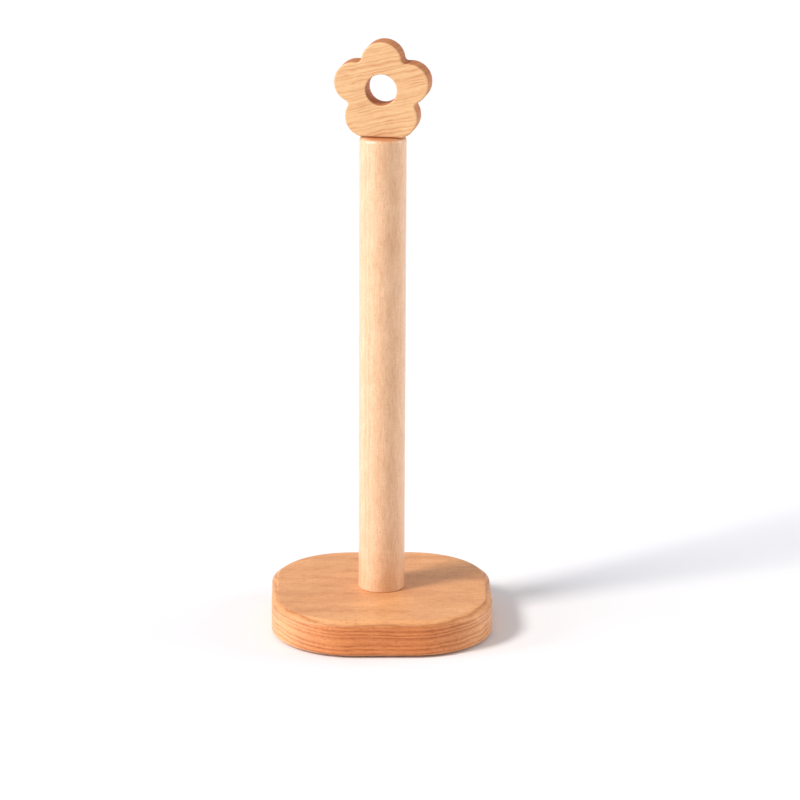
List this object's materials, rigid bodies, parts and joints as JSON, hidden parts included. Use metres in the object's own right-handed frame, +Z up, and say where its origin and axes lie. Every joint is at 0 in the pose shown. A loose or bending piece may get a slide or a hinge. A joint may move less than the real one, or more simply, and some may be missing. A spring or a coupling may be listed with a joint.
{
  "type": "paper towel holder",
  "caption": "Free-standing wooden kitchen roll holder: rounded-square base, round post and a flower-shaped finial that turns and lifts out.",
  "frame": {"origin": "on the table, under the middle of the base, on the post's axis", "axes": "+Z up along the post, +X to the right, -Y towards the front"},
  "size_m": [0.13, 0.13, 0.35],
  "materials": {
    "base_beech": "flat-sawn beech, sanded and oiled",
    "post_beech": "turned beech, sanded and oiled",
    "flower_beech": "sawn beech board, sanded and oiled",
    "dowel_beech": "bare turned beech",
    "zinc_steel": "bright zinc plate",
    "insert_brass": "machined",
    "pad_silicone": "matte translucent silicone"
  },
  "bodies": {
    "stand": {"base_plate": "base_beech", "foot_pad_front_left": "pad_silicone", "foot_pad_front_right": "pad_silicone", "foot_pad_rear_left": "pad_silicone", "foot_pad_rear_right": "pad_silicone", "post": "post_beech", "threaded_insert": "insert_brass", "screw_washer": "zinc_steel", "base_screw": "zinc_steel"},
    "finial_pin": {"finial_dowel": "dowel_beech"},
    "finial": {"flower_finial": "flower_beech"}
  },
  "joints": [
    {"name": "finial_lift", "type": "slide", "parent": "stand", "child": "finial_pin", "axis": [0, 0, 1], "range_m": [0, 0.03]},
    {"name": "finial_turn", "type": "hinge", "parent": "finial_pin", "child": "finial", "pos_m": [0, 0, 0.295], "axis": [0, 0, 1], "continuous": true}
  ]
}
